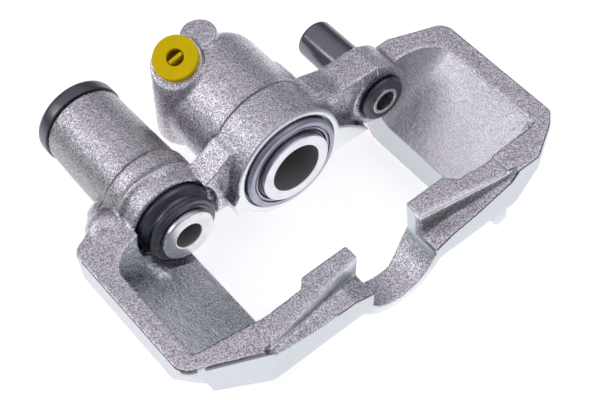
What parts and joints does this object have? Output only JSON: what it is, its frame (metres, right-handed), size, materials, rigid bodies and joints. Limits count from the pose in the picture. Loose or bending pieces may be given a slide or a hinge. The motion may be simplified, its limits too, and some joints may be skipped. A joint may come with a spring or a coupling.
{
  "type": "brake caliper",
  "caption": "Floating frame-type disc brake caliper with one piston, a long and a short guide sleeve, rubber boots and a plug in the hose port.",
  "frame": {"origin": "centre of the piston's open end face, on the piston's axis", "axes": "-Y the way the piston pushes, towards the fingers; +X towards the short guide; +Z radially inward, towards the disc's centre at x 0, z 96.8 mm"},
  "size_m": [0.2078, 0.1674, 0.0785],
  "materials": {
    "zinc_cast": "rough cast, bright zinc plated",
    "piston_steel": "ground and plated",
    "ring_steel": "satin",
    "sleeve_steel": "turned and plated",
    "rubber": "satin",
    "cap_black": "gloss",
    "plug_yellow": "satin"
  },
  "bodies": {
    "housing": {"caliper_housing": "zinc_cast", "piston_seal": "rubber", "piston_boot_ring": "ring_steel", "piston_boot": "rubber", "long_guide_bellows": "rubber", "long_guide_front_bush": "rubber", "long_guide_rear_bush": "rubber", "short_guide_bush": "rubber"},
    "piston": {"piston": "piston_steel"},
    "long_sleeve": {"long_guide_sleeve": "sleeve_steel"},
    "short_sleeve": {"short_guide_sleeve": "sleeve_steel"},
    "port_plug": {"hose_port_plug": "plug_yellow"},
    "long_cap": {"long_guide_rear_cap": "rubber"},
    "short_cap": {"short_guide_rear_cap": "cap_black"},
    "bleed_screw": {"bleed_screw": "sleeve_steel"},
    "bleed_cap": {"bleed_screw_cap": "rubber"}
  },
  "joints": [
    {"name": "piston_slide", "type": "slide", "parent": "housing", "child": "piston", "axis": [0, -1, 0], "range_m": [0, 0.016], "deforming": ["piston_boot"]},
    {"name": "long_guide_slide", "type": "slide", "parent": "housing", "child": "long_sleeve", "axis": [0, -1, 0], "range_m": [-0.006, 0.01], "deforming": ["long_guide_bellows"]},
    {"name": "short_guide_slide", "type": "slide", "parent": "housing", "child": "short_sleeve", "axis": [0, -1, 0], "range_m": [-0.006, 0.01]},
    {"name": "plug_pull", "type": "slide", "parent": "housing", "child": "port_plug", "axis": [-0.3301, -0.2501, 0.9102], "range_m": [0, 0.012]},
    {"name": "long_cap_pull", "type": "slide", "parent": "housing", "child": "long_cap", "axis": [0, 1, 0], "range_m": [0, 0.015]},
    {"name": "short_cap_pull", "type": "slide", "parent": "housing", "child": "short_cap", "axis": [0, 1, 0], "range_m": [0, 0.034]},
    {"name": "bleed_screw_turn", "type": "hinge", "parent": "housing", "child": "bleed_screw", "pos_m": [0.018, 0.057, -0.03], "axis": [0, 0, -1], "range_deg": [0, 360]},
    {"name": "bleed_cap_pull", "type": "slide", "parent": "bleed_screw", "child": "bleed_cap", "axis": [0, 0, -1], "range_m": [0, 0.01]}
  ],
  "couplings": [
    {"joint": "short_guide_slide", "follows": "long_guide_slide", "ratio": 1}
  ]
}
